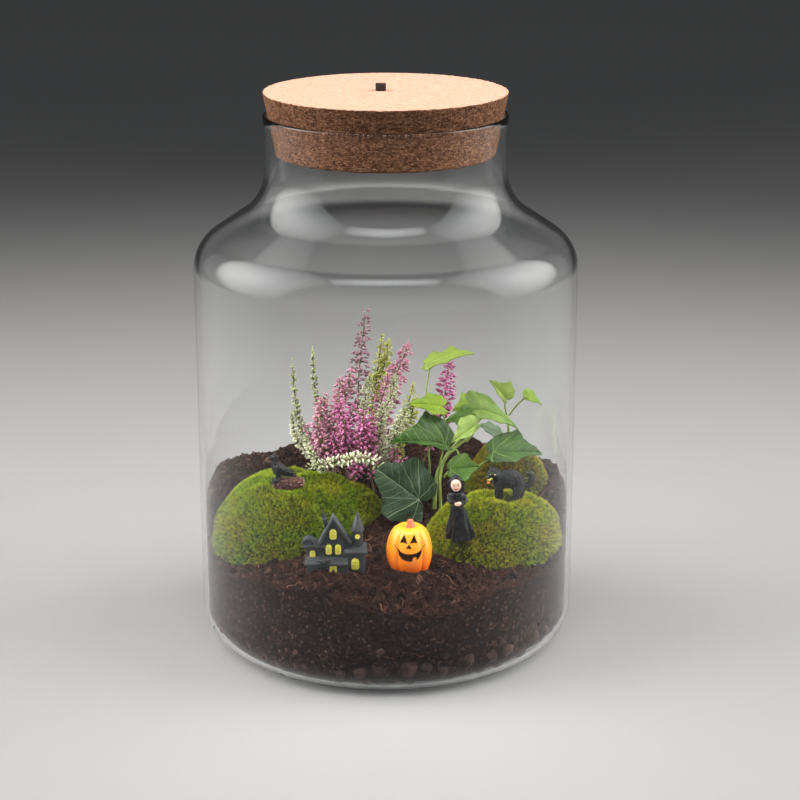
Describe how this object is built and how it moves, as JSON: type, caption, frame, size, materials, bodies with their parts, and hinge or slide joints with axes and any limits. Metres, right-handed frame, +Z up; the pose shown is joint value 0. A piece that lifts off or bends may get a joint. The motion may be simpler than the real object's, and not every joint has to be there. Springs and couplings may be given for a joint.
{
  "type": "glass plant terrarium",
  "caption": "Clear glass jar with sloping shoulders and a tapered cork lid, planted with heather, ivy and moss over dark soil and clay pebbles, with small spooky figures.",
  "frame": {"origin": "middle of the jar's flat base", "axes": "+Z up along the jar's axis, -Y towards the viewer of the picture, +X to that viewer's right"},
  "size_m": [0.2, 0.2, 0.298],
  "materials": {
    "clear_glass": "clear, smooth",
    "cork": "agglomerated cork, matt, with darker granules",
    "vent_black": "matt",
    "fired_clay": "matt, porous",
    "potting_soil": "loose, matt, with brown fibres",
    "moss_green": "matt, fine shoots",
    "moss_olive": "matt, fine shoots with brown tips",
    "ivy_stem": "satin",
    "ivy_light": "satin leaf with pale veins",
    "ivy_dark": "satin leaf with pale veins",
    "ivy_grey": "satin leaf underside",
    "heather_white": "matt buds",
    "heather_pink": "matt bell-shaped buds",
    "heather_yellow": "matt needle leaves",
    "black_paint": "cast, satin black paint",
    "orange_paint": "cast, gloss orange paint"
  },
  "bodies": {
    "root": {"jar": "clear_glass", "cork_lid": "cork", "vent_plug": "vent_black", "clay_pebbles": "fired_clay", "ivy_stem_main": "ivy_stem", "ivy_stem_second": "ivy_stem", "ivy_stem_back": "ivy_stem", "ivy_leaf_top": "ivy_light", "ivy_leaf_lime": "ivy_light", "ivy_leaf_left": "ivy_dark", "ivy_leaf_veined": "ivy_dark", "ivy_leaf_arching": "ivy_light", "ivy_leaf_behind": "ivy_light", "ivy_leaf_middle": "ivy_dark", "ivy_leaf_pale": "ivy_light", "ivy_leaf_sprout": "ivy_light", "ivy_leaf_sprout_small": "ivy_light", "ivy_leaf_dark": "ivy_dark", "ivy_leaf_front": "ivy_dark", "ivy_leaf_grey": "ivy_grey", "heather_white_tall_left": "heather_white", "heather_white_tall_right": "heather_white", "heather_white_short": "heather_white", "heather_pink_left": "heather_pink", "heather_pink_far_left": "heather_pink", "heather_tallest": "heather_pink", "heather_yellow_tall": "heather_yellow", "heather_pink_right": "heather_pink", "heather_pink_second": "heather_pink", "heather_magenta_middle": "heather_pink", "heather_magenta_right": "heather_pink", "heather_white_low": "heather_white", "heather_magenta_low": "heather_pink", "heather_magenta_side": "heather_pink", "heather_cream": "heather_yellow", "heather_pink_behind": "heather_pink", "heather_small_buds": "heather_pink", "haunted_house": "black_paint", "pumpkin": "orange_paint", "robed_figure": "black_paint", "cat": "black_paint", "raven_on_log": "black_paint", "moss_left": "moss_green", "moss_right_front": "moss_green", "moss_right_back": "moss_olive", "soil": "potting_soil"}
  },
  "joints": []
}
